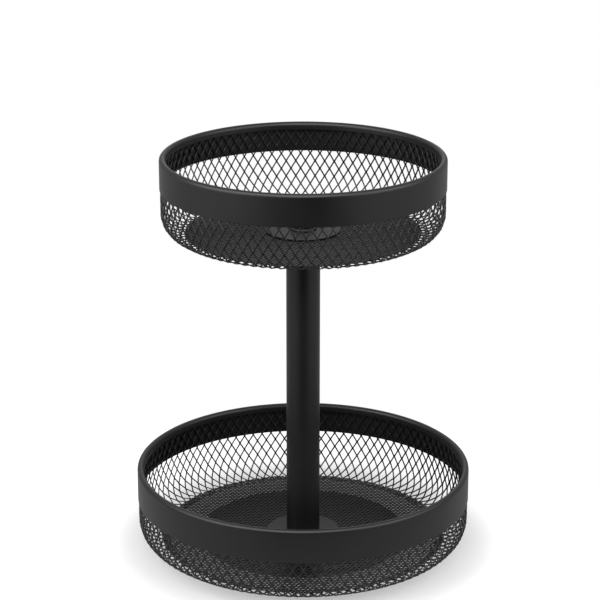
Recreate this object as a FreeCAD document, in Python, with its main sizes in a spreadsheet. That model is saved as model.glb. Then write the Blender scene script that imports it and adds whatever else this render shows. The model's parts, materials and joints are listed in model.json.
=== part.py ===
import FreeCAD, Part
import Sketcher
import math
import os

# Two-tier round mesh basket: two expanded-metal baskets with sheet rim bands on one pole.
# Millimetres, +Z up, origin on the table under the pole's axis.

doc = FreeCAD.newDocument("tiered_basket")

# Driving dimensions: alias, value, what it measures
dimensions = (
    ("lower_rim_dia", "300", "outside of the lower rim band"),
    ("upper_rim_dia", "250", "outside of the upper rim band"),
    ("tier_spacing", "287", "lower rim crest to upper rim crest"),
    ("lower_depth", "70", "lower rim crest to the underside of its mesh"),
    ("upper_depth", "70", "upper rim crest to the underside of its mesh"),
    ("lower_band_height", "30", "height of the lower rim band"),
    ("upper_band_height", "28", "height of the upper rim band"),
    ("band_sheet", "1", "sheet thickness of the rim bands"),
    ("crest_width", "6", "width over the rolled crest of a band"),
    ("hem_return", "7", "depth of the band's inner leg below the crest"),
    ("mesh_inset", "1.2", "band's outer face to the mesh's outer face"),
    ("mesh_gauge", "1.2", "thickness of the expanded metal"),
    ("corner_radius", "20", "outside radius where a wall turns under its floor"),
    ("flange_width", "8", "flat part of the wall that carries the floor"),
    ("diamond_width", "18", "pitch of the openings around the wall"),
    ("diamond_height", "28.8", "pitch of the openings down the wall"),
    ("strand_width", "2.6", "width of the metal between two openings"),
    ("pole_dia", "30", "outside of the pole"),
    ("pole_wall", "1.5", "wall of the pole"),
    ("plug_length", "22", "length of the threaded plugs in the pole"),
    ("plate_gauge", "1.5", "thickness of the steel plates"),
    ("base_plate_margin", "26", "base plate's edge to the wall's flange"),
    ("turn_plate_margin", "42", "turn plate's edge to the wall's flange"),
    ("hub_plate_dia", "66", "outside of the plates that lie on the floors"),
    ("screw_dia", "6", "shank of the screws"),
    ("thread_grip", "14", "length of screw inside a plug"),
    ("head_dia", "12", "screw head"),
    ("head_height", "3.4", "screw head"),
    ("head_edge", "0.9", "upright edge of the screw head"),
    ("head_flat_dia", "6.6", "flat on top of the screw head"),
    ("socket_width", "4", "hexagon socket across its flats"),
    ("socket_depth", "2", "hexagon socket"),
    ("washer_dia", "18", "flat washers"),
    ("washer_gauge", "1.6", "flat washers"),
    ("lock_washer_dia", "11.8", "split lock washer"),
    ("lock_gauge", "1.6", "split lock washer"),
    ("lock_slit", "1.4", "gap of the split lock washer"),
    ("bush_wall", "1.6", "sleeve of the turning bush"),
    ("bush_flange_dia", "23", "flange of the turning bush"),
    ("bush_flange_gauge", "1.6", "flange of the turning bush"),
    ("bearing_gauge", "1.5", "bearing washer on top of the pole"),
    ("foot_dia", "20", "rubber foot where it meets the base plate"),
    ("foot_taper", "2", "how much narrower a foot's radius is at the table"),
    ("foot_bevel", "1.2", "bevel of a foot's lower edge"),
    ("spigot_dia", "6", "stem of a foot in the base plate"),
    ("foot_inset", "18", "base plate's edge to a foot's centre"),
    ("ground_clearance", "1.5", "table to the lower screw's head"),
    ("plate_bevel", "0.4", "broken edges of plates and plugs"),
    ("slip_gap", "0.1", "gap round a piece that is pressed or screwed in"),
    ("run_gap", "0.3", "gap between pieces that turn or are laid in"),
)
foot_count = 4
first_foot_angle = 45
sector_count = 4

dims = doc.addObject("Spreadsheet::Sheet", "dims")
for row, (alias, number, meaning) in enumerate(dimensions, start=1):
    dims.set("A%d" % row, meaning)
    dims.set("B%d" % row, number)
    dims.setAlias("B%d" % row, alias)
doc.recompute()


def value(formula):
    return float(dims.evalExpression(formula))


# Levels above the table, from the feet up to the upper crest
foot_height = "(dims.washer_gauge + dims.lock_gauge + dims.head_height + dims.ground_clearance)"
lower_floor_z = "(%s + dims.plate_gauge)" % foot_height
lower_wall_z = "(%s - dims.mesh_gauge)" % lower_floor_z
lower_crest_z = "(%s + dims.lower_depth)" % lower_wall_z
lower_hub_z = "(%s + dims.mesh_gauge)" % lower_floor_z
pole_z = "(%s + dims.plate_gauge)" % lower_hub_z
upper_crest_z = "(%s + dims.tier_spacing)" % lower_crest_z
upper_wall_z = "(%s - dims.upper_depth)" % upper_crest_z
upper_floor_z = "(%s + dims.mesh_gauge)" % upper_wall_z
turn_plate_z = "(%s - dims.plate_gauge)" % upper_floor_z
bearing_z = "(%s - dims.bearing_gauge)" % turn_plate_z
upper_hub_z = "(%s + dims.mesh_gauge)" % upper_floor_z
bush_flange_z = "(%s + dims.plate_gauge + dims.run_gap)" % upper_hub_z
upper_washer_z = "(%s + dims.bush_flange_gauge)" % bush_flange_z
upper_head_z = "(%s + dims.washer_gauge)" % upper_washer_z

# Radii that several pieces share
screw_hole = "(dims.screw_dia / 2 + dims.slip_gap)"
bush_radius = "(%s + dims.bush_wall)" % screw_hole
bush_hole = "(%s + dims.run_gap)" % bush_radius
plug_radius = "(dims.pole_dia / 2 - dims.pole_wall - dims.slip_gap)"


def wall_radius(tier):
    return "(dims.%s_rim_dia / 2 - dims.mesh_inset)" % tier


def flange_radius(tier):
    return "(%s - dims.corner_radius - dims.flange_width)" % wall_radius(tier)


base_plate_radius = "(%s - dims.base_plate_margin)" % flange_radius("lower")
turn_plate_radius = "(%s - dims.turn_plate_margin)" % flange_radius("upper")
foot_ring_radius = "(%s - dims.foot_inset)" % base_plate_radius

pieces = []


def keep(piece, label, level, flipped=False):
    # A finished sub-part gets its name and its level above the table
    piece.Label = label
    if flipped:
        half_turn = FreeCAD.Rotation(FreeCAD.Vector(1, 0, 0), 180)
        piece.Placement = FreeCAD.Placement(FreeCAD.Vector(), half_turn)
    piece.setExpression("Placement.Base.z", level)
    pieces.append(piece)
    return piece


def body_named(label):
    return doc.addObject("PartDesign::Body", "body_" + label)


def origin_feature(body, role):
    return next(item for item in body.Origin.OriginFeatures if item.Role == role)


def sketch_on(body, role, name):
    sketch = body.newObject("Sketcher::SketchObject", name)
    sketch.AttachmentSupport = [(origin_feature(body, role), "")]
    sketch.MapMode = "FlatFace"
    return sketch


def place_point(sketch, geometry, point, x, y):
    # Ties one point of a sketch to two formulas
    for kind, formula in (("DistanceX", x), ("DistanceY", y)):
        rule = Sketcher.Constraint(kind, -1, 1, geometry, point, value(formula))
        index = sketch.addConstraint(rule)
        sketch.setExpression("Constraints[%d]" % index, formula)


def draw_outline(sketch, corners, arcs=None):
    # Closed outline: corners are formulas, arcs give the centre of the run after a corner
    arcs = arcs or {}
    points = [FreeCAD.Vector(value(x), value(y), 0) for x, y in corners]
    ends = []
    for index, start in enumerate(points):
        end = points[(index + 1) % len(points)]
        if index not in arcs:
            sketch.addGeometry(Part.LineSegment(start, end))
            ends.append((1, 2))
            continue
        centre = FreeCAD.Vector(value(arcs[index][0]), value(arcs[index][1]), 0)
        counter_clockwise = (start - centre).cross(end - centre).z > 0
        first, last = (start, end) if counter_clockwise else (end, start)
        first_angle = math.atan2(first.y - centre.y, first.x - centre.x)
        last_angle = math.atan2(last.y - centre.y, last.x - centre.x)
        if last_angle < first_angle:
            last_angle += 2 * math.pi
        radius = (start - centre).Length
        circle = Part.Circle(centre, FreeCAD.Vector(0, 0, 1), radius)
        sketch.addGeometry(Part.ArcOfCircle(circle, first_angle, last_angle))
        ends.append((1, 2) if counter_clockwise else (2, 1))
    for index, (x, y) in enumerate(corners):
        following = (index + 1) % len(corners)
        join = (index, ends[index][1], following, ends[following][0])
        sketch.addConstraint(Sketcher.Constraint("Coincident", *join))
        place_point(sketch, index, ends[index][0], x, y)
        if index in arcs:
            height = arcs[index][1]
            rule = Sketcher.Constraint("DistanceY", -1, 1, index, 3, value(height))
            number = sketch.addConstraint(rule)
            sketch.setExpression("Constraints[%d]" % number, height)


def turned(label, corners, arcs=None):
    # Body of revolution about Z from an outline in radius and height
    body = body_named(label)
    sketch = sketch_on(body, "XZ_Plane", "profile_" + label)
    draw_outline(sketch, corners, arcs)
    revolution = body.newObject("PartDesign::Revolution", "turn_" + label)
    revolution.Profile = sketch
    revolution.ReferenceAxis = (sketch, ["V_Axis"])
    revolution.Angle = 360
    doc.recompute()
    return body


def pocket(body, sketch, depth=None):
    # Cuts a sketch out of a body, through it all or to a depth, and proves that it cut
    before = body.Shape.Volume
    cut = body.newObject("PartDesign::Pocket", "cut_" + sketch.Name)
    cut.Profile = sketch
    if depth is None:
        cut.Type = "ThroughAll"
        cut.Midplane = True
    else:
        cut.setExpression("Length", depth)
    doc.recompute()
    if body.Shape.Volume >= before:
        raise RuntimeError("%s removed nothing" % cut.Name)
    return cut


def ring(label, bore, outside, height, level):
    # Plate, washer or tube with broken outer edges
    edge = "dims.plate_bevel"
    corners = (
        (bore, "0"),
        ("%s - %s" % (outside, edge), "0"),
        (outside, edge),
        (outside, "%s - %s" % (height, edge)),
        ("%s - %s" % (outside, edge), height),
        (bore, height),
    )
    return keep(turned(label, corners), label, level)


def rim_band(tier, crest_z):
    # Sheet band: upright face, half-round crest and a short inner leg
    label = tier + "_rim_band"
    height = "dims.%s_band_height" % tier
    face = "dims.%s_rim_dia / 2" % tier
    roll = "dims.crest_width / 2"
    middle = "%s - %s" % (face, roll)
    inner = "%s - dims.crest_width" % face
    shoulder = "%s - %s" % (height, roll)
    leg_end = "%s - dims.hem_return" % height
    corners = (
        (face, "0"),
        (face, shoulder),
        (middle, height),
        (inner, shoulder),
        (inner, leg_end),
        ("%s + dims.band_sheet" % inner, leg_end),
        ("%s + dims.band_sheet" % inner, shoulder),
        (middle, "%s - dims.band_sheet" % height),
        ("%s - dims.band_sheet" % face, shoulder),
        ("%s - dims.band_sheet" % face, "0"),
    )
    centre = (middle, shoulder)
    body = turned(label, corners, {1: centre, 2: centre, 6: centre, 7: centre})
    keep(body, label, "%s - %s" % (crest_z, height))


def wall_section(tier, top):
    # Section of a wall in the XZ plane: upright run, round corner and inward flange
    outside = value(wall_radius(tier))
    gauge = dims.mesh_gauge
    bend = dims.corner_radius
    bend_x = outside - bend
    flange_x = value(flange_radius(tier))

    def corner_arc(radius):
        angles = (0, math.pi / 4, math.pi / 2)
        on_arc = [
            FreeCAD.Vector(bend_x + radius * math.cos(a), 0, bend - radius * math.sin(a))
            for a in angles
        ]
        return Part.Arc(*on_arc).toShape()

    def run(x1, z1, x2, z2):
        ends = (FreeCAD.Vector(x1, 0, z1), FreeCAD.Vector(x2, 0, z2))
        return Part.LineSegment(*ends).toShape()

    edges = [
        run(outside - gauge, top, outside, top),
        run(outside, top, outside, bend),
        corner_arc(bend),
        run(bend_x, 0, flange_x, 0),
        run(flange_x, 0, flange_x, gauge),
        run(flange_x, gauge, bend_x, gauge),
        corner_arc(bend - gauge),
        run(outside - gauge, bend, outside - gauge, top),
    ]
    return Part.Face(Part.Wire(Part.__sortEdges__(edges)))


def corner_cuts(half_width, half_height):
    # How far half a strand takes a diamond's side and tip corners in
    slant = math.hypot(half_width, half_height)
    half_strand = dims.strand_width / 2
    return half_strand * slant / half_height, half_strand * slant / half_width


def mesh_wall(tier, level):
    # Expanded-metal wall: rows of diamonds follow the surface from the band to the flange
    outside = value(wall_radius(tier))
    bend = dims.corner_radius
    strand = dims.strand_width
    depth = value("dims.%s_depth" % tier)
    band_edge = depth - value("dims.%s_band_height" % tier)
    upright = band_edge - bend
    bend_length = bend * math.pi / 2
    usable = upright + bend_length + dims.flange_width - strand
    row_count = max(1, round(usable / (dims.diamond_height / 2)))
    row_step = usable / row_count
    around = 2 * math.pi * outside / dims.diamond_width
    column_count = sector_count * max(1, round(around / sector_count))
    column_angle = 360 / column_count
    columns = column_count // sector_count
    axis = (FreeCAD.Vector(), FreeCAD.Vector(0, 0, 1))

    def surface(travel):
        # Radius, height and slope after some travel down from the band's lower edge
        if travel <= upright:
            return outside, band_edge - travel, 0
        slope = (travel - upright) / bend
        if slope <= math.pi / 2:
            inward = bend * (1 - math.cos(slope))
            return outside - inward, bend * (1 - math.sin(slope)), slope
        return outside - bend - (travel - upright - bend_length), 0, math.pi / 2

    def diamond_prism(row):
        # One opening, cut square to the surface at its centre
        radius, height, slope = surface(row * row_step)
        down = FreeCAD.Vector(-math.sin(slope), 0, -math.cos(slope))
        outward = FreeCAD.Vector(math.cos(slope), 0, -math.sin(slope))
        centre = FreeCAD.Vector(radius, 0, height)

        def along(travel):
            there = surface(travel)
            return (FreeCAD.Vector(there[0], 0, there[1]) - centre).dot(down)

        half_width = math.pi * radius / column_count
        side_cut, tip_cut = corner_cuts(half_width, row_step)
        side = FreeCAD.Vector(0, half_width - side_cut, 0)
        tip_above = down * (along((row - 1) * row_step) + tip_cut)
        tip_below = down * (along((row + 1) * row_step) - tip_cut)
        start = centre + outward * dims.mesh_gauge
        loop = [start + tip_above, start + side, start + tip_below, start - side]
        opening = Part.Face(Part.makePolygon(loop + loop[:1]))
        # From one gauge in front of the wall to one behind it, and on round the bend
        bulge = bend * (1 - math.cos(min(row_step / bend, math.pi / 2)))
        return opening.extrude(outward * -(3 * dims.mesh_gauge + bulge))

    section = wall_section(tier, depth - dims.crest_width / 2)
    section.rotate(*axis, -column_angle / 2)
    sector = section.revolve(*axis, column_angle * columns)
    tools = []
    for row in range(row_count):
        prism = diamond_prism(row)
        shifted = row % 2
        for column in range(-shifted, columns):
            tool = prism.copy()
            tool.rotate(*axis, column_angle * (column + shifted / 2))
            tools.append(tool)
    cut_sector = sector.cut(tools)
    sectors = []
    for index in range(sector_count):
        copy = cut_sector.copy()
        copy.rotate(*axis, 360 / sector_count * index)
        sectors.append(copy)
    wall = doc.addObject("Part::Feature", "wall_" + tier)
    wall.Shape = sectors[0].multiFuse(sectors[1:]).Solids[0]
    keep(wall, tier + "_mesh_wall", level)


def mesh_floor(tier, bore, level):
    # Flat disc of expanded metal, one holed face, with a plain patch for the hub plates
    radius = value("%s - dims.corner_radius - dims.run_gap" % wall_radius(tier))
    strand = dims.strand_width
    half_width = dims.diamond_width / 2
    half_height = dims.diamond_height / 2
    patch = dims.hub_plate_dia / 2
    up = FreeCAD.Vector(0, 0, 1)

    def disc(size):
        return Part.Face(Part.Wire(Part.makeCircle(size, FreeCAD.Vector(), up)))

    side_cut, tip_cut = corner_cuts(half_width, half_height)
    side = half_width - side_cut
    tip = half_height - tip_cut
    openings = []
    columns = math.ceil(radius / half_width)
    rows = math.ceil(radius / half_height)
    for row in range(-rows, rows + 1):
        for column in range(-columns, columns + 1):
            if (row + column) % 2:
                continue
            x = column * half_width
            y = row * half_height
            from_centre = math.hypot(x, y)
            if from_centre < patch or from_centre > radius + half_height:
                continue
            loop = [(x, y + tip), (x + side, y), (x, y - tip), (x - side, y), (x, y + tip)]
            wire = Part.makePolygon([FreeCAD.Vector(u, v, 0) for u, v in loop])
            openings.append(Part.Face(wire))
    inside = disc(radius - strand)
    trimmed = Part.makeCompound(openings).common(inside).Faces
    smallest = strand * strand
    gaps = [face for face in trimmed if face.Area > smallest]
    sheet = disc(radius).cut(gaps + [disc(value(bore))])
    floor = doc.addObject("Part::Feature", "floor_" + tier)
    floor.Shape = sheet.Faces[0].extrude(up * dims.mesh_gauge)
    keep(floor, tier + "_mesh_floor", level)


def screw(label, grip, level, flipped=False):
    # Button head above its seat at zero, shank below, hexagon socket in the head
    shank = "dims.screw_dia / 2"
    head = "dims.head_dia / 2"
    flat = "dims.head_flat_dia / 2"
    length = "(%s + dims.thread_grip)" % grip
    lead = "2 * dims.plate_bevel"
    dome = "(pow(%s; 2) - pow(%s; 2) + pow(dims.head_edge; 2) - pow(dims.head_height; 2))"
    dome_centre = (dome + " / (2 * (dims.head_edge - dims.head_height))") % (head, flat)
    corners = (
        ("0", "-%s" % length),
        ("%s - %s" % (shank, lead), "-%s" % length),
        (shank, "%s - %s" % (lead, length)),
        (shank, "0"),
        (head, "0"),
        (head, "dims.head_edge"),
        (flat, "dims.head_height"),
        ("0", "dims.head_height"),
    )
    body = turned(label, corners, {5: ("0", dome_centre)})
    socket = sketch_on(body, "XY_Plane", "socket_" + label)
    socket.setExpression("AttachmentOffset.Base.z", "dims.head_height")
    corner_radius = "dims.socket_width / sqrt(3)"
    hexagon = [
        ("%s * cos(%d deg)" % (corner_radius, angle), "%s * sin(%d deg)" % (corner_radius, angle))
        for angle in range(0, 360, 60)
    ]
    draw_outline(socket, hexagon)
    pocket(body, socket, "dims.socket_depth")
    keep(body, label, level, flipped)


def lock_washer(label, level):
    # Split ring under the lower screw's head
    outside = "dims.lock_washer_dia / 2"
    body = ring(label, screw_hole, outside, "dims.lock_gauge", level)
    slit = sketch_on(body, "XY_Plane", "slit")
    corners = (
        ("0", "-dims.lock_slit / 2"),
        ("dims.lock_washer_dia", "-dims.lock_slit / 2"),
        ("dims.lock_washer_dia", "dims.lock_slit / 2"),
        ("0", "dims.lock_slit / 2"),
    )
    draw_outline(slit, corners)
    pocket(body, slit)


def base_plate():
    # Disc under the lower floor, with a hole for each foot's stem
    label = "lower_base_plate"
    body = ring(label, screw_hole, base_plate_radius, "dims.plate_gauge", foot_height)
    hole = sketch_on(body, "XY_Plane", "foot_hole")
    stem = "dims.spigot_dia / 2 + dims.slip_gap"
    centre = FreeCAD.Vector(value(foot_ring_radius), 0, 0)
    hole.addGeometry(Part.Circle(centre, FreeCAD.Vector(0, 0, 1), value(stem)))
    place_point(hole, 0, 3, foot_ring_radius, "0")
    index = hole.addConstraint(Sketcher.Constraint("Radius", 0, value(stem)))
    hole.setExpression("Constraints[%d]" % index, stem)
    first_hole = pocket(body, hole)
    pattern = body.newObject("PartDesign::PolarPattern", "foot_holes")
    pattern.Originals = [first_hole]
    pattern.Axis = (origin_feature(body, "Z_Axis"), [""])
    pattern.Angle = 360
    pattern.Occurrences = foot_count
    body.Tip = pattern
    turn = FreeCAD.Rotation(FreeCAD.Vector(0, 0, 1), first_foot_angle)
    body.Placement = FreeCAD.Placement(FreeCAD.Vector(), turn)
    body.setExpression("Placement.Base.z", foot_height)


def foot(index):
    # Tapered rubber foot whose stem sits in the base plate
    label = "foot_%d" % (index + 1)
    top = "dims.foot_dia / 2"
    bottom = "(%s - dims.foot_taper)" % top
    stem = "dims.spigot_dia / 2"
    stem_end = "%s + dims.plate_gauge" % foot_height
    corners = (
        ("0", "0"),
        ("%s - dims.foot_bevel" % bottom, "0"),
        (bottom, "dims.foot_bevel"),
        (top, foot_height),
        (stem, foot_height),
        (stem, stem_end),
        ("0", stem_end),
    )
    body = turned(label, corners)
    angle = first_foot_angle + index * 360 / foot_count
    keep(body, label, "0")
    body.setExpression("Placement.Base.x", "%s * cos(%g deg)" % (foot_ring_radius, angle))
    body.setExpression("Placement.Base.y", "%s * sin(%g deg)" % (foot_ring_radius, angle))


def turning_bush():
    # Flanged sleeve that the upper basket turns on; it stands on the upper plug
    label = "turning_bush"
    sleeve_end = "(%s - %s)" % (bush_flange_z, bearing_z)
    top = "%s + dims.bush_flange_gauge" % sleeve_end
    flange = "dims.bush_flange_dia / 2"
    corners = (
        (screw_hole, "0"),
        (bush_radius, "0"),
        (bush_radius, sleeve_end),
        (flange, sleeve_end),
        (flange, "%s - dims.plate_bevel" % top),
        ("%s - dims.plate_bevel" % flange, top),
        (screw_hole, top),
    )
    keep(turned(label, corners), label, bearing_z)


# Lower basket and its feet
rim_band("lower", lower_crest_z)
mesh_wall("lower", lower_wall_z)
mesh_floor("lower", screw_hole, lower_floor_z)
base_plate()
for foot_index in range(foot_count):
    foot(foot_index)

# Pole and the screw that holds it on the lower basket
pole_length = "(%s - %s)" % (bearing_z, pole_z)
pole_bore = "(dims.pole_dia / 2 - dims.pole_wall)"
ring("lower_hub_plate", screw_hole, "dims.hub_plate_dia / 2", "dims.plate_gauge", lower_hub_z)
ring("pole_tube", pole_bore, "dims.pole_dia / 2", pole_length, pole_z)
ring("pole_lower_plug", screw_hole, plug_radius, "dims.plug_length", pole_z)
upper_plug_z = "%s - dims.plug_length" % bearing_z
ring("pole_upper_plug", screw_hole, plug_radius, "dims.plug_length", upper_plug_z)
lower_washer_z = "(%s - dims.washer_gauge)" % foot_height
lock_washer_z = "(%s - dims.lock_gauge)" % lower_washer_z
ring("lower_washer", screw_hole, "dims.washer_dia / 2", "dims.washer_gauge", lower_washer_z)
lock_washer("lower_lock_washer", lock_washer_z)
screw("lower_screw", "(%s - %s)" % (pole_z, lock_washer_z), lock_washer_z, flipped=True)

# Bearing of the upper basket, which stays with the pole
ring("bearing_washer", bush_hole, "dims.pole_dia / 2", "dims.bearing_gauge", bearing_z)
turning_bush()
ring("upper_washer", screw_hole, "dims.washer_dia / 2", "dims.washer_gauge", upper_washer_z)
screw("upper_screw", "(%s - %s)" % (upper_head_z, bearing_z), upper_head_z)

# Upper basket, which turns on the bush
rim_band("upper", upper_crest_z)
mesh_wall("upper", upper_wall_z)
mesh_floor("upper", bush_hole, upper_floor_z)
ring("upper_turn_plate", bush_hole, turn_plate_radius, "dims.plate_gauge", turn_plate_z)
ring("upper_hub_plate", bush_hole, "dims.hub_plate_dia / 2", "dims.plate_gauge", upper_hub_z)

doc.recompute()
for item in doc.Objects:
    if "Invalid" in item.State or "Error" in item.State:
        raise RuntimeError("%s failed" % item.Label)
for piece in pieces:
    if piece.Shape.isNull() or not piece.Shape.isValid():
        raise RuntimeError("%s has no valid shape" % piece.Label)

os.makedirs("parts", exist_ok=True)
for piece in pieces:
    piece.Shape.exportStep("parts/%s.step" % piece.Label)
    print(piece.Label, len(piece.Shape.Solids), round(piece.Shape.Volume, 1))
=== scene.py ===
import json
import math

import bmesh
import bpy
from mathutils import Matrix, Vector

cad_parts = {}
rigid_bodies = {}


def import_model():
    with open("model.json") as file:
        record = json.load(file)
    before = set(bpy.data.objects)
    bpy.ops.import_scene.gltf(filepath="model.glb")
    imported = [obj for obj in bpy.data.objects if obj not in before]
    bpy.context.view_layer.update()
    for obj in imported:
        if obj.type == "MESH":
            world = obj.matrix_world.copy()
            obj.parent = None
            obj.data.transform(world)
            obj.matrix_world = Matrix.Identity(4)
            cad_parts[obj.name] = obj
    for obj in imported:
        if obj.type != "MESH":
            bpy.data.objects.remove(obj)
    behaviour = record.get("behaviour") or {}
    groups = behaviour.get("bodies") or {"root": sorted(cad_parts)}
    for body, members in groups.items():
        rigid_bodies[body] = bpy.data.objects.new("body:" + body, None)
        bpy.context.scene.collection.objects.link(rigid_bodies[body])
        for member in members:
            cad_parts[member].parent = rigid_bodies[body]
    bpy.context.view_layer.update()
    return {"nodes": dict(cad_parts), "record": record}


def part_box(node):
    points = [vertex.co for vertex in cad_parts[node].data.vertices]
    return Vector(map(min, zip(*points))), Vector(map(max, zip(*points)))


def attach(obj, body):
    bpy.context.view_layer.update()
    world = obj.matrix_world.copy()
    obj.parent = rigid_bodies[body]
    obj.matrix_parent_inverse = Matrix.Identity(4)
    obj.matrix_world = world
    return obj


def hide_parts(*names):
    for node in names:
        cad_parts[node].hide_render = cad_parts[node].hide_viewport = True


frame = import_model()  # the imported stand, every node at its place
mm = 0.001
hair = 0.01  # next to nothing: this share of an opening's width, or this many mm
sharpEdge = 60  # degrees, a sharper edge gets rounded
print("frame loaded:", len(frame["nodes"]), "nodes")


# small helpers that every piece uses

srgb = {"top": 255, "knee": 0.04045, "slope": 12.92, "shift": 0.055, "power": 2.4}


def hexToLinear(hexText):
    linear = []
    for digit in (1, 3, 5):
        share = int(hexText[digit:digit + 2], 16) / srgb["top"]
        if share <= srgb["knee"]:
            linear.append(share / srgb["slope"])
        else:
            linear.append(((share + srgb["shift"]) / (1 + srgb["shift"])) ** srgb["power"])
    return (*linear, 1)


def addNode(tree, kind, settings=None, links=None):
    node = tree.nodes.new(kind)
    for name, value in (settings or {}).items():
        if isinstance(name, int) or name in node.inputs:
            node.inputs[name].default_value = value
        else:
            setattr(node, name, value)
    for name, source in (links or {}).items():
        tree.links.new(source, node.inputs[name])
    return node


def deselectAll():
    if bpy.context.mode != "OBJECT":
        bpy.ops.object.mode_set(mode="OBJECT")
    bpy.ops.object.select_all(action="DESELECT")


def pickOnly(piece):
    deselectAll()
    piece.select_set(True)
    bpy.context.view_layer.objects.active = piece


def addModifier(piece, kind, **settings):
    pickOnly(piece)
    modifier = piece.modifiers.new(kind.lower(), kind)
    for name, value in settings.items():
        setattr(modifier, name, value)
    bpy.ops.object.modifier_apply(modifier=modifier.name)


def roundRadius(node):
    low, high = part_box(node)
    return (high.x - low.x) / 2


def finishPiece(piece, body, node, smoothAngle):
    pickOnly(piece)
    bpy.ops.object.shade_smooth_by_angle(angle=math.radians(smoothAngle))
    piece.data.materials.clear()
    piece.data.materials.append(finishes["powder_coat"])
    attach(piece, body)
    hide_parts(node)
    print(piece.name, "made:", len(piece.data.polygons), "faces")


# materials: each one drifts between two tones and two gloss levels, with a grain on top

noiseLook = {"cloudDetail": 3, "grainDetail": 2, "spread": (0.3, 0.7)}  # most noise lies in the spread


def newMaterial(name):
    material = bpy.data.materials.new(name)
    material.use_nodes = True
    tree = material.node_tree
    return material, tree, tree.nodes["Principled BSDF"]


def makeFinish(name, look):
    material, tree, shader = newMaterial(name)
    place = addNode(tree, "ShaderNodeTexCoord").outputs["Object"]
    low, high = noiseLook["spread"]
    patches = {"Scale": 1 / (look["cloud"] * mm), "Detail": noiseLook["cloudDetail"]}
    cloud = addNode(tree, "ShaderNodeTexNoise", patches, {"Vector": place}).outputs["Fac"]
    tint = addNode(tree, "ShaderNodeValToRGB", None, {"Fac": cloud})
    for stop, colour, position in zip(tint.color_ramp.elements, look["tones"], (low, high)):
        stop.color = hexToLinear(colour)
        stop.position = position
    tree.links.new(tint.outputs["Color"], shader.inputs["Base Color"])
    gloss = {"From Min": low, "From Max": high, "To Min": look["rough"][0], "To Max": look["rough"][1]}
    rough = addNode(tree, "ShaderNodeMapRange", gloss, {"Value": cloud})
    tree.links.new(rough.outputs["Result"], shader.inputs["Roughness"])
    grit = {"Scale": 1 / (look["grain"] * mm), "Detail": noiseLook["grainDetail"]}
    grain = addNode(tree, "ShaderNodeTexNoise", grit, {"Vector": place}).outputs["Fac"]
    relief = {"Strength": look["bump"], "Distance": look["relief"] * mm}
    bump = addNode(tree, "ShaderNodeBump", relief, {"Height": grain})
    tree.links.new(bump.outputs["Normal"], shader.inputs["Normal"])
    for socket, value in look["constant"].items():
        shader.inputs[socket].default_value = value
    return material


finishes = {
    # polyester powder baked on steel: satin black, faint orange peel, gloss a little uneven
    "powder_coat": makeFinish("satinBlackPowderCoat", {
        "tones": ("#070708", "#0c0c0d"), "cloud": 60, "rough": (0.38, 0.44),
        "grain": 2.2, "bump": 0.06, "relief": 0.2, "constant": {"IOR": 1.5}}),
    # barrel-plated zinc on turned steel: bright blue-grey, cloudy, with tumbling marks
    "zinc_steel": makeFinish("brightZincPlate", {
        "tones": ("#a9adb2", "#cdd0d3"), "cloud": 5, "rough": (0.24, 0.4),
        "grain": 0.8, "bump": 0.12, "relief": 0.05, "constant": {"Metallic": 1.0}}),
    # black passivated zinc: dark metal with a soft grey sheen
    "black_steel": makeFinish("blackZincPlate", {
        "tones": ("#242426", "#37373a"), "cloud": 6, "rough": (0.32, 0.46),
        "grain": 0.8, "bump": 0.1, "relief": 0.05, "constant": {"Metallic": 1.0}}),
    # black moulded polyamide: dense, slightly waxy, with a matt moulded skin
    "nylon": makeFinish("blackMouldedNylon", {
        "tones": ("#161617", "#212122"), "cloud": 8, "rough": (0.42, 0.55),
        "grain": 0.6, "bump": 0.1, "relief": 0.05, "constant": {"IOR": 1.53}}),
    # moulded synthetic rubber: matt, near black, with a pale bloom in patches
    "foot_rubber": makeFinish("mouldedRubber", {
        "tones": ("#151515", "#232322"), "cloud": 7, "rough": (0.72, 0.9),
        "grain": 0.7, "bump": 0.25, "relief": 0.08, "constant": {"IOR": 1.52}}),
}
print("materials made:", len(finishes))


# expanded metal: a slit and stretched sheet, made flat first, coarse for the walls and fine for the floors

wallNet = {
    "wide": 9.0, "tall": 14.4, "strand": 1.2, "gauge": 0.9,
    "bond": 0.65, "edge": 0.25, "snap": 0.12, "lean": 0.12, "smooth": 180,
}
floorNet = {
    "wide": 4.2, "tall": 6.7, "strand": 1.0, "gauge": 0.8,
    "bond": 0.4, "edge": 0, "snap": 0.08, "lean": 0.08, "smooth": 40,
}
bondCorners = 4  # a bond between strands has four corners, an opening has more


def selectEdges(piece, wanted):
    bpy.ops.mesh.select_mode(type="EDGE")
    bpy.ops.mesh.select_all(action="DESELECT")
    shape = bmesh.from_edit_mesh(piece.data)
    for edge in shape.edges:
        edge.select_set(wanted(edge))
    bmesh.update_edit_mesh(piece.data)


def selectFaces(piece, wanted):
    bpy.ops.mesh.select_mode(type="FACE")
    bpy.ops.mesh.select_all(action="DESELECT")
    shape = bmesh.from_edit_mesh(piece.data)
    for face in shape.faces:
        face.select_set(wanted(face))
    bmesh.update_edit_mesh(piece.data)


def snapNet(net):
    bpy.ops.mesh.select_all(action="SELECT")
    bpy.ops.mesh.remove_doubles(threshold=net["snap"] * mm)  # slivers at tips and cuts close up


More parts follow.
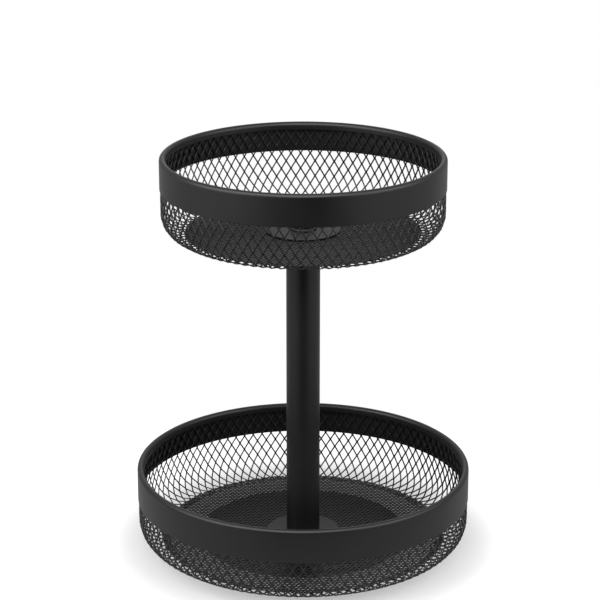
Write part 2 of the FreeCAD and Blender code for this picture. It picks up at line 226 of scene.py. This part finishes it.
def makeFlatNet(name, net, columns, rows, wide, tall):
    deselectAll()
    bpy.ops.mesh.primitive_grid_add(x_subdivisions=columns, y_subdivisions=rows, size=1)
    piece = bpy.context.object
    piece.name = name
    bpy.ops.object.mode_set(mode="EDIT")
    size = (columns * wide, rows * tall, 1)
    bpy.ops.transform.resize(value=size, center_override=(0, 0, 0))
    bpy.ops.mesh.poke()

    def isSquareEdge(edge):
        span = edge.verts[0].co - edge.verts[1].co
        return not edge.is_boundary and min(abs(span.x), abs(span.y)) < hair * wide

    selectEdges(piece, isSquareEdge)  # the grid's own edges go, the slanting ones stay
    bpy.ops.mesh.dissolve_edges(use_verts=False)
    bpy.ops.mesh.select_mode(type="VERT")
    bpy.ops.mesh.select_all(action="SELECT")
    bpy.ops.mesh.bevel(offset=net["bond"] * mm, affect="VERTICES")
    selectFaces(piece, lambda face: len(face.verts) > bondCorners)
    bpy.ops.mesh.inset(thickness=net["strand"] / 2 * mm, use_individual=True)
    shape = bmesh.from_edit_mesh(piece.data)
    for face in shape.faces:  # stretching the slits turns each strand a little
        if face.select:
            middle = face.calc_center_median().x
            for corner in face.verts:
                corner.co.z += net["lean"] * (corner.co.x - middle)
    bmesh.update_edit_mesh(piece.data)
    bpy.ops.mesh.delete(type="FACE")
    snapNet(net)
    return piece


def thickenNet(piece, net):
    addModifier(piece, "SOLIDIFY", thickness=net["gauge"] * mm, offset=0)
    if net["edge"]:  # the coat rounds the strands, the fine ones too little to show
        addModifier(piece, "BEVEL", width=net["edge"] * mm, segments=1,
                    limit_method="ANGLE", angle_limit=math.radians(sharpEdge))


def trimNet(point, normal):
    bpy.ops.mesh.select_all(action="SELECT")
    bpy.ops.mesh.bisect(plane_co=point, plane_no=normal, clear_outer=True)


wallLook = {"corner": 20, "flange": 8, "inset": 0.2, "tuck": 1.0, "ease": 3}
trays = {
    "lower": {"columns": 104, "body": "stand"},
    "upper": {"columns": 87, "body": "upper_tray"},
}


def makeMeshWall(tier):
    tray = trays[tier]
    low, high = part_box(tier + "_mesh_wall")
    thickness = wallNet["gauge"] + wallNet["lean"] * wallNet["wide"]
    skin = thickness / 2 * mm  # from the middle of the net to its proudest strand
    corner = wallLook["corner"] * mm - skin
    radius = roundRadius(tier + "_rim_band") - wallLook["inset"] * mm - skin
    flange = wallLook["flange"] * mm
    bottom = low.z + skin
    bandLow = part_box(tier + "_rim_band")[0].z
    ease = wallLook["ease"] * mm
    bend = corner * math.pi / 2
    length = flange + bend + high.z - bottom - corner
    columns = tray["columns"]
    wide = 2 * math.pi * radius / columns
    tall = wallNet["tall"] * mm
    rows = math.ceil(length / tall)
    piece = makeFlatNet(tier + "MeshWall", wallNet, columns + 1, rows, wide, tall)
    half = (columns + 1) * wide / 2
    quarter = wide / 4
    foot = -rows * tall / 2
    trimNet((half - quarter, 0, 0), (1, 0, 0))  # both ends are cut through strands, clear of the bonds
    trimNet((-half + 3 * quarter, 0, 0), (-1, 0, 0))
    trimNet((0, foot + length, 0), (0, 1, 0))
    bpy.ops.object.mode_set(mode="OBJECT")
    for vertex in piece.data.vertices:  # the strip is rolled round and its foot is turned in
        angle = vertex.co.x / radius
        travel = vertex.co.y - foot
        turn = min(max((travel - flange) / corner, 0), math.pi / 2)
        out = radius - corner + min(travel - flange, 0) + corner * math.sin(turn)
        up = bottom + corner - corner * math.cos(turn) + max(travel - flange - bend, 0)
        inBand = min(max((up - bandLow) / ease + 1, 0), 1)  # its top is tucked behind the band
        out += vertex.co.z * math.sin(turn) - inBand * wallLook["tuck"] * mm
        up -= vertex.co.z * math.cos(turn)
        vertex.co = (out * math.cos(angle), out * math.sin(angle), up)
    pickOnly(piece)
    bpy.ops.object.mode_set(mode="EDIT")
    snapNet(wallNet)
    bpy.ops.object.mode_set(mode="OBJECT")
    thickenNet(piece, wallNet)
    finishPiece(piece, tray["body"], tier + "_mesh_wall", wallNet["smooth"])


floorLook = {"turn": 62, "bore": 5.5, "cuts": 72, "sweeps": 3}


def dropScraps(piece, radius):
    snapNet(floorNet)
    bpy.ops.mesh.select_mode(type="VERT")
    for sweep in range(floorLook["sweeps"]):  # what hangs on by one corner goes first
        bpy.ops.mesh.select_all(action="DESELECT")
        bpy.ops.mesh.select_non_manifold(use_boundary=False)
        bpy.ops.mesh.delete(type="VERT")
    shape = bmesh.from_edit_mesh(piece.data)
    sound = min(shape.faces, key=lambda face: abs(face.calc_center_median().xy.length - radius / 2))
    selectFaces(piece, lambda face: face.index == sound.index)
    bpy.ops.mesh.select_linked()
    bpy.ops.mesh.select_all(action="INVERT")
    bpy.ops.mesh.delete(type="FACE")


def makeMeshFloor(tier):
    low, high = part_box(tier + "_mesh_floor")
    radius = roundRadius(tier + "_mesh_floor")
    wide, tall = floorNet["wide"] * mm, floorNet["tall"] * mm
    columns = 2 * math.ceil(radius / wide) + 2  # even by odd, so that an opening lies over the screw
    rows = 2 * math.ceil(radius / tall) + 1
    piece = makeFlatNet(tier + "MeshFloor", floorNet, columns, rows, wide, tall)
    bore = floorLook["bore"] * mm
    selectFaces(piece, lambda face: face.calc_center_median().xy.length < bore)
    bpy.ops.mesh.delete(type="FACE")
    shape = bmesh.from_edit_mesh(piece.data)
    for corner in shape.verts:  # what still reaches in is cut back to the bore
        reach = corner.co.xy.length
        if reach < bore:
            corner.co.xy *= bore / reach
    bmesh.update_edit_mesh(piece.data)
    for cut in range(floorLook["cuts"]):  # trimmed round, one straight cut at a time
        angle = 2 * math.pi * cut / floorLook["cuts"]
        way = Vector((math.cos(angle), math.sin(angle), 0))
        trimNet(way * radius, way)
    dropScraps(piece, radius)
    bpy.ops.mesh.select_all(action="SELECT")
    turn = math.radians(floorLook["turn"])  # the sheet's grain lies across the stand
    bpy.ops.transform.rotate(value=turn, orient_axis="Z", center_override=(0, 0, 0))
    bpy.ops.transform.translate(value=(0, 0, (low.z + high.z) / 2))
    bpy.ops.object.mode_set(mode="OBJECT")
    thickenNet(piece, floorNet)
    finishPiece(piece, trays[tier]["body"], tier + "_mesh_floor", floorNet["smooth"])


# rim bands: a strip of sheet with its top edge rolled over

bandLook = {
    "sheet": 1.0, "crest": 6.0, "hem": 7.0, "steps": 192, "roll": 10,
    "edge": 0.3, "guard": 0.8, "smooth": 40,
}


def startPoint(name, point):
    deselectAll()
    bpy.ops.mesh.primitive_plane_add(size=mm, location=(0, 0, 0))
    piece = bpy.context.object
    piece.name = name
    bpy.ops.object.mode_set(mode="EDIT")
    bpy.ops.mesh.select_mode(type="VERT")
    bpy.ops.mesh.merge(type="CENTER")
    bpy.ops.transform.translate(value=point)
    return piece


def drawStraight(length, guard):
    end = math.copysign(guard * mm, length)
    for rise in (end, length - 2 * end, end):  # loops near both ends keep a long run's shading even
        bpy.ops.mesh.extrude_vertices_move(TRANSFORM_OT_translate={"value": (0, 0, rise)})


def spinRound(piece, steps):
    bpy.ops.mesh.select_all(action="SELECT")
    bpy.ops.mesh.spin(steps=steps, angle=2 * math.pi, center=(0, 0, 0), axis=(0, 0, 1))
    bpy.ops.mesh.select_all(action="SELECT")
    bpy.ops.mesh.remove_doubles(threshold=hair * mm)
    bpy.ops.mesh.normals_make_consistent(inside=False)
    shape = bmesh.from_edit_mesh(piece.data)
    outermost = max(shape.faces, key=lambda face: face.calc_center_median().xy.length)
    if outermost.normal.xy.dot(outermost.calc_center_median().xy) < 0:
        bpy.ops.mesh.flip_normals()
    bpy.ops.object.mode_set(mode="OBJECT")


def thickenSheet(piece, sheet, edge):
    addModifier(piece, "SOLIDIFY", thickness=sheet * mm, offset=-1)
    addModifier(piece, "BEVEL", width=edge * mm, segments=2,
                limit_method="ANGLE", angle_limit=math.radians(sharpEdge))


def makeRimBand(tier):
    low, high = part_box(tier + "_rim_band")
    rim = roundRadius(tier + "_rim_band")
    roll = bandLook["crest"] / 2 * mm
    piece = startPoint(tier + "RimBand", (rim, 0, low.z))
    drawStraight(high.z - roll - low.z, bandLook["guard"])
    middle = (rim - roll, 0, high.z - roll)
    bpy.ops.mesh.spin(steps=bandLook["roll"], angle=math.pi, center=middle, axis=(0, 1, 0))
    drawStraight(roll - bandLook["hem"] * mm, bandLook["guard"])
    spinRound(piece, bandLook["steps"])
    thickenSheet(piece, bandLook["sheet"], bandLook["edge"])
    finishPiece(piece, trays[tier]["body"], tier + "_rim_band", bandLook["smooth"])


# pole: one length of round tube

poleLook = {"wall": 1.5, "steps": 96, "edge": 0.4, "guard": 1.0, "smooth": 40}


def makePole():
    low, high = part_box("pole_tube")
    piece = startPoint("poleTube", (roundRadius("pole_tube"), 0, low.z))
    drawStraight(high.z - low.z, poleLook["guard"])
    spinRound(piece, poleLook["steps"])
    thickenSheet(piece, poleLook["wall"], poleLook["edge"])
    finishPiece(piece, "stand", "pole_tube", poleLook["smooth"])


for tierName in trays:
    makeRimBand(tierName)
    makeMeshWall(tierName)
    makeMeshFloor(tierName)
makePole()

# plates, plugs, screws, washers, bush and feet keep their solids and get their finish
for part in frame["record"]["subparts"]:
    solid = frame["nodes"][part["node"]]
    solid.data.materials.clear()
    solid.data.materials.append(finishes[part["material_slot"]])
print("solids dressed")


# studio: pale table, white backdrop, dim walls, dark behind the camera, softboxes in front and at the sides

tableLook = {
    "colour": "#b4b4b4", "rough": 0.9, "shine": 0.1, "radius": 310, "corners": 128,
    # the glow is weak close to the stand and strong further out, a painted shade round its base;
    # reflections get a tenth of it, a painted darker reflection
    "glowRamp": (0.38, 0.85), "fade": (145, 205), "mirrored": 0.1,
}


def lightPathSum(tree, shares):
    path = addNode(tree, "ShaderNodeLightPath")
    links = {}
    for name, share in shares.items():
        links[0] = path.outputs[name]
        addShare = {"operation": "MULTIPLY_ADD", "use_clamp": True, 1: share, 2: 0}
        total = addNode(tree, "ShaderNodeMath", addShare, links)
        links[2] = total.outputs[0]
    return total.outputs[0]


def makeTable():
    deselectAll()
    radius = tableLook["radius"] * mm
    bpy.ops.mesh.primitive_circle_add(vertices=tableLook["corners"], radius=radius, fill_type="NGON")
    table = bpy.context.object
    table.name = "studioTable"
    material, tree, shader = newMaterial("paleMattTable")  # glows white to the camera but less near the stand: painted shade round its base, on top of the real shadow it takes
    shader.inputs["Base Color"].default_value = hexToLinear(tableLook["colour"])
    shader.inputs["Roughness"].default_value = tableLook["rough"]
    shader.inputs["Specular IOR Level"].default_value = tableLook["shine"]
    shader.inputs["Emission Color"].default_value = (1, 1, 1, 1)
    place = addNode(tree, "ShaderNodeTexCoord").outputs["Object"]
    far = addNode(tree, "ShaderNodeVectorMath", {"operation": "LENGTH"}, {0: place})
    near, edge = (distance * mm for distance in tableLook["fade"])
    dim, bright = tableLook["glowRamp"]
    fade = {"interpolation_type": "SMOOTHSTEP", "From Min": near, "From Max": edge,
            "To Min": dim, "To Max": bright}
    # less glow within reach of the stand: painted shade round its base, added to its real shadow
    glowRamp = addNode(tree, "ShaderNodeMapRange", fade, {"Value": far.outputs["Value"]})
    shares = {"Is Camera Ray": 1, "Is Transmission Ray": 1, "Is Glossy Ray": tableLook["mirrored"]}
    seen = lightPathSum(tree, shares)  # reflections show only a tenth of the glow, a painted darker reflection, so the lower band stays dark
    glow = addNode(tree, "ShaderNodeMath", {"operation": "MULTIPLY"}, {0: seen, 1: glowRamp.outputs["Result"]})
    tree.links.new(glow.outputs[0], shader.inputs["Emission Strength"])
    table.data.materials.append(material)


roomLook = {
    "level": 0.25, "dark": 0.03, "wall": 0.44, "roof": 0.6,
    "side": (14, 46), "back": (160, 180), "roofLine": (0.25, 0.55),
}


def makeRoom():
    world = bpy.data.worlds.new("studioRoom")
    world.use_nodes = True
    tree = world.node_tree
    way = addNode(tree, "ShaderNodeTexCoord").outputs["Generated"]
    way = addNode(tree, "ShaderNodeSeparateXYZ", None, {"Vector": way})
    ahead = addNode(tree, "ShaderNodeMath", {"operation": "MULTIPLY", 1: -1}, {0: way.outputs["Y"]})
    across = {0: way.outputs["X"], 1: ahead.outputs[0]}
    turn = addNode(tree, "ShaderNodeMath", {"operation": "ARCTAN2"}, across)
    turn = addNode(tree, "ShaderNodeMath", {"operation": "ABSOLUTE"}, {0: turn.outputs[0]})
    side = [math.radians(angle) for angle in roomLook["side"]]
    back = [math.radians(angle) for angle in roomLook["back"]]
    zones = (  # walls, backdrop and roof: where each fades in, and from which level to which
        (turn.outputs[0], side, (roomLook["dark"], roomLook["wall"])),
        (turn.outputs[0], back, (0, 1)),
        (way.outputs["Z"], roomLook["roofLine"], (0, roomLook["roof"])),
    )
    room = None
    for where, edges, levels in zones:
        fade = {"interpolation_type": "SMOOTHSTEP", "From Min": edges[0], "From Max": edges[1],
                "To Min": levels[0], "To Max": levels[1]}
        zone = addNode(tree, "ShaderNodeMapRange", fade, {"Value": where}).outputs["Result"]
        if room is not None:
            zone = addNode(tree, "ShaderNodeMath", {"operation": "MAXIMUM"}, {0: room, 1: zone}).outputs[0]
        room = zone
    shown = lightPathSum(tree, {"Is Glossy Ray": 1, "Is Transmission Ray": 1})  # in full in mirrors only
    shown = addNode(tree, "ShaderNodeMapRange", {"To Min": roomLook["level"]}, {"Value": shown})
    room = addNode(tree, "ShaderNodeMath", {"operation": "MULTIPLY"}, {0: room, 1: shown.outputs["Result"]})
    camera = lightPathSum(tree, {"Is Camera Ray": 1})  # plain white to the camera
    room = addNode(tree, "ShaderNodeMath", {"operation": "MAXIMUM"}, {0: room.outputs[0], 1: camera})
    background = tree.nodes["Background"]
    background.inputs["Color"].default_value = (1, 1, 1, 1)
    tree.links.new(room.outputs[0], background.inputs["Strength"])
    bpy.context.scene.world = world


lamps = {
    "keySoftbox": {
        "place": (-0.15, -0.68, 1.12), "target": (-0.08, -0.1, 0.3), "size": (1.5, 0.55), "power": 10.5},
    "frontSoftbox": {
        "place": (-0.15, -1.9, 1.3), "target": (0, 0, 0.3), "size": (1.2, 0.3), "power": 9},
    "leftSoftbox": {
        "place": (-0.95, -0.5, 0.75), "target": (0, -0.3, 0.4), "size": (1.1, 0.9), "power": 9},
    "rightSoftbox": {
        "place": (0.95, -0.5, 0.75), "target": (0, -0.3, 0.4), "size": (1.1, 0.9), "power": 7.2},
}


def makeLamp(name, look):
    lamp = bpy.data.lights.new(name, "AREA")
    lamp.shape = "RECTANGLE"
    lamp.size, lamp.size_y = look["size"]
    lamp.energy = look["power"]
    holder = bpy.data.objects.new(name, lamp)
    bpy.context.scene.collection.objects.link(holder)
    holder.location = look["place"]
    holder.visible_camera = False
    aim = Vector(look["target"]) - Vector(look["place"])
    holder.rotation_euler = aim.to_track_quat("-Z", "Y").to_euler()


cameraLook = {
    "away": 1826.5, "up": 847.3, "side": -2.8, "pitch": 18.578,
    "focal": 2177.84, "pixels": 600, "sensor": 36, "reach": 100,
}


def makeCamera():
    camera = bpy.data.cameras.new("camera")
    camera.sensor_width = cameraLook["sensor"]
    camera.lens = cameraLook["focal"] / cameraLook["pixels"] * camera.sensor_width
    camera.clip_end = cameraLook["reach"]
    holder = bpy.data.objects.new("camera", camera)
    bpy.context.scene.collection.objects.link(holder)
    holder.location = (cameraLook["side"] * mm, -cameraLook["away"] * mm, cameraLook["up"] * mm)
    holder.rotation_euler = (math.radians(90 - cameraLook["pitch"]), 0, 0)
    bpy.context.scene.camera = holder


makeTable()
makeRoom()
for lampName in lamps:
    makeLamp(lampName, lamps[lampName])
makeCamera()
bpy.context.scene.view_settings.view_transform = "Standard"
print("studio set")
